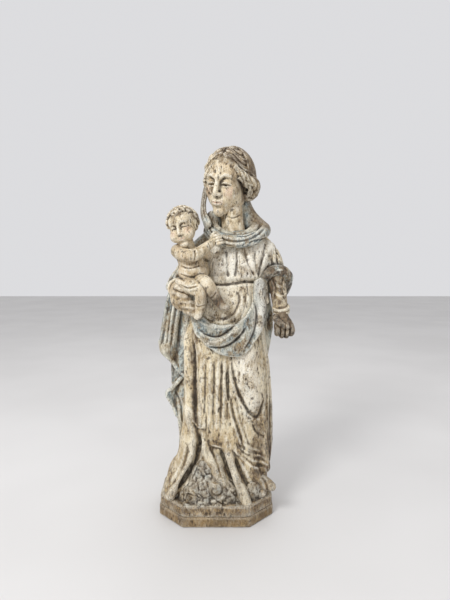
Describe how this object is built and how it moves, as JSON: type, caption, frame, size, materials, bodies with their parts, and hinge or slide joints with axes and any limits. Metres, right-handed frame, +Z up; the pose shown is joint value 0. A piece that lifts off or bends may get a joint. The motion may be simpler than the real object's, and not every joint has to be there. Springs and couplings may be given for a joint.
{
  "type": "madonna statue",
  "caption": "Carved and painted wooden figure of a standing mother holding an infant, on a low octagonal plinth.",
  "frame": {"origin": "centre of the plinth's underside", "axes": "+Z up along the figure's height, the figure faces -Y, +X towards the figure's own left"},
  "size_m": [0.1675, 0.117, 0.45],
  "materials": {
    "gown_paint": "worn cream paint over chalk ground on limewood, cracked along the grain",
    "mantle_paint": "worn blue-grey paint on limewood",
    "flesh_paint": "worn flesh paint with faint pink cheeks on limewood",
    "ground_wood": "dark stained and dusty carved limewood",
    "plinth_wood": "ochre paint worn back on edges",
    "oak": "bare turned oak"
  },
  "bodies": {
    "root": {"base_board": "plinth_wood", "base_dowels": "oak", "ground_block": "ground_wood", "gown_block": "gown_paint", "back_mantle": "mantle_paint", "side_mantle": "mantle_paint", "front_swag": "mantle_paint", "collar_and_veil": "mantle_paint", "head": "flesh_paint", "neck_dowel": "oak", "left_sleeve": "gown_paint", "left_arm_dowel": "oak", "left_forearm": "gown_paint", "left_hand": "flesh_paint", "left_hand_dowel": "oak", "right_sleeve": "mantle_paint", "right_arm_dowel": "oak", "right_hand": "flesh_paint", "right_hand_dowel": "oak", "child_body": "flesh_paint", "child_arm": "flesh_paint", "child_dowel": "oak"}
  },
  "joints": []
}
